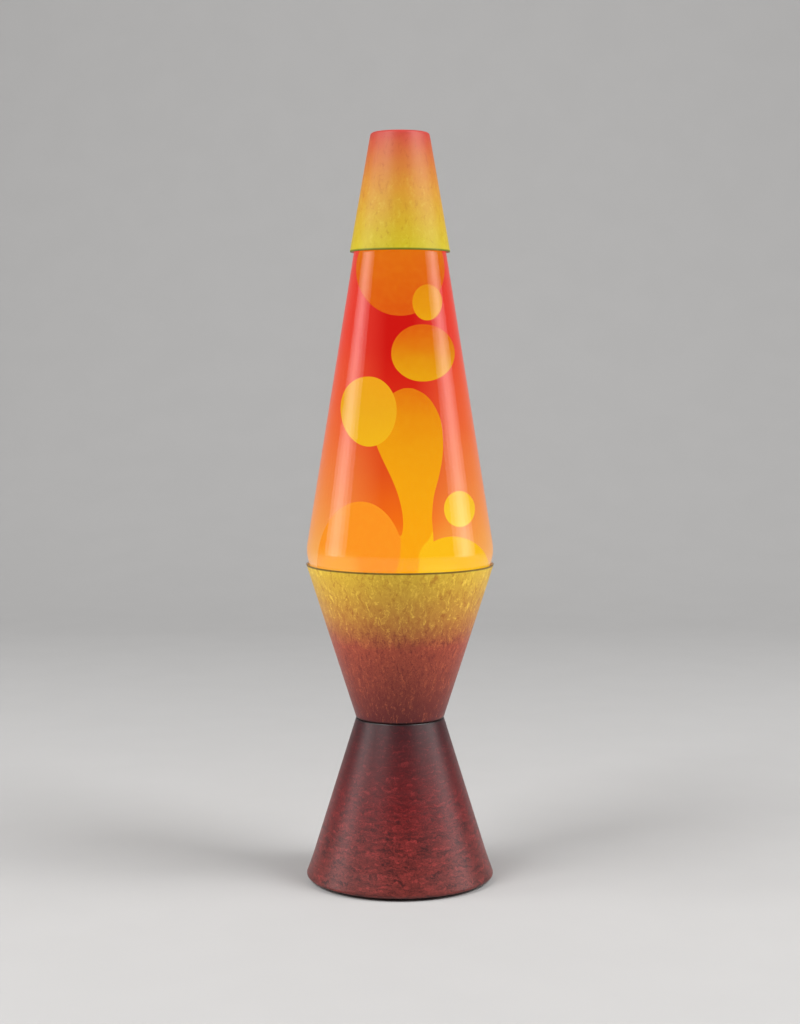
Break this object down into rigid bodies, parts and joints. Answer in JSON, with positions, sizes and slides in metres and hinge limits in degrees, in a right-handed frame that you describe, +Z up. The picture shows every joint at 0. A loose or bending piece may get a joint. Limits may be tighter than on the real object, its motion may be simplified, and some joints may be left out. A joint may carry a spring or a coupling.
{
  "type": "lava lamp",
  "caption": "Motion lamp: tapered glass bottle of liquid and wax on a waisted two-cone metal base, with a bulb inside and a tapered cap on top.",
  "frame": {"origin": "on the surface the lamp stands on, under the middle of its foot", "axes": "+Z up along the lamp's axis, +Y towards the cord entry at the back"},
  "size_m": [0.093, 0.093, 0.368],
  "materials": {
    "cap_print": "satin printed wrap over spun aluminium",
    "cup_print": "satin printed wrap over spun aluminium",
    "foot_print": "satin printed wrap over spun aluminium",
    "plate_black": "moulded, fine grain",
    "rubber_grey": "matte",
    "nylon_black": "smooth moulded",
    "porcelain": "unglazed white",
    "brass": "bright",
    "nut_steel": "zinc plated",
    "bulb_glass": "clear",
    "bulb_shell": "bright rolled thread",
    "vitrite": "glassy black",
    "solder": "dull",
    "stem_glass": "clear pressed glass",
    "wire": "drawn wire",
    "tungsten": "glowing",
    "globe_glass": "clear, smooth",
    "liquid_red": "clear red liquid, lit from below",
    "wax": "melted wax, lit from below",
    "coil_wire": "drawn wire",
    "crown_gold": "lacquered tinplate",
    "liner": "soft moulded"
  },
  "bodies": {
    "base": {"lower_cone": "foot_print", "upper_cone": "cup_print", "base_plate": "plate_black", "feet": "rubber_grey", "cord_grommet": "nylon_black", "socket_body": "porcelain", "socket_screw_shell": "brass", "socket_centre_contact": "brass", "terminal_screws": "brass", "ring_nut": "nut_steel", "lock_washer": "nut_steel"},
    "bulb_carrier": {"bulb_contact": "solder"},
    "bulb": {"bulb_envelope": "bulb_glass", "bulb_screw_shell": "bulb_shell", "bulb_insulator": "vitrite", "bulb_stem": "stem_glass", "bulb_supports": "wire", "filament": "tungsten"},
    "bottle": {"globe_bottle": "globe_glass", "liquid": "liquid_red", "wax_pool": "wax", "wax_dome": "wax", "heat_coil": "coil_wire", "crown_cap": "crown_gold", "crown_liner": "liner"},
    "blob_a": {"wax_blob_a": "wax"},
    "blob_b": {"wax_blob_b": "wax"},
    "blob_c": {"wax_blob_c": "wax"},
    "blob_d": {"wax_blob_d": "wax"},
    "cap": {"cap_shell": "cap_print"}
  },
  "joints": [
    {"name": "cap_lift", "type": "slide", "parent": "bottle", "child": "cap", "axis": [0, 0, 1], "range_m": [0, 0.06]},
    {"name": "bottle_lift", "type": "slide", "parent": "base", "child": "bottle", "axis": [0, 0, 1], "range_m": [0, 0.035]},
    {"name": "bulb_rise", "type": "slide", "parent": "base", "child": "bulb_carrier", "axis": [0, 0, 1], "range_m": [0, 0.00564]},
    {"name": "bulb_turn", "type": "hinge", "parent": "bulb_carrier", "child": "bulb", "pos_m": [0, 0, 0.08], "axis": [0, 0, 1], "range_deg": [0, 720]},
    {"name": "blob_a_rise", "type": "slide", "parent": "bottle", "child": "blob_a", "axis": [0, 0, 1], "range_m": [0, 0.0025], "deforming": ["liquid"]},
    {"name": "blob_b_rise", "type": "slide", "parent": "bottle", "child": "blob_b", "axis": [0, 0, 1], "range_m": [-0.0025, 0.0015], "deforming": ["liquid"]},
    {"name": "blob_c_rise", "type": "slide", "parent": "bottle", "child": "blob_c", "axis": [0, 0, 1], "range_m": [-0.02, 0.002], "deforming": ["liquid"]},
    {"name": "blob_d_rise", "type": "slide", "parent": "bottle", "child": "blob_d", "axis": [0, 0, 1], "range_m": [-0.004, 0.014], "deforming": ["liquid"]}
  ],
  "couplings": [
    {"joint": "bulb_turn", "follows": "bulb_rise", "rad_per_m": 2228.1}
  ]
}
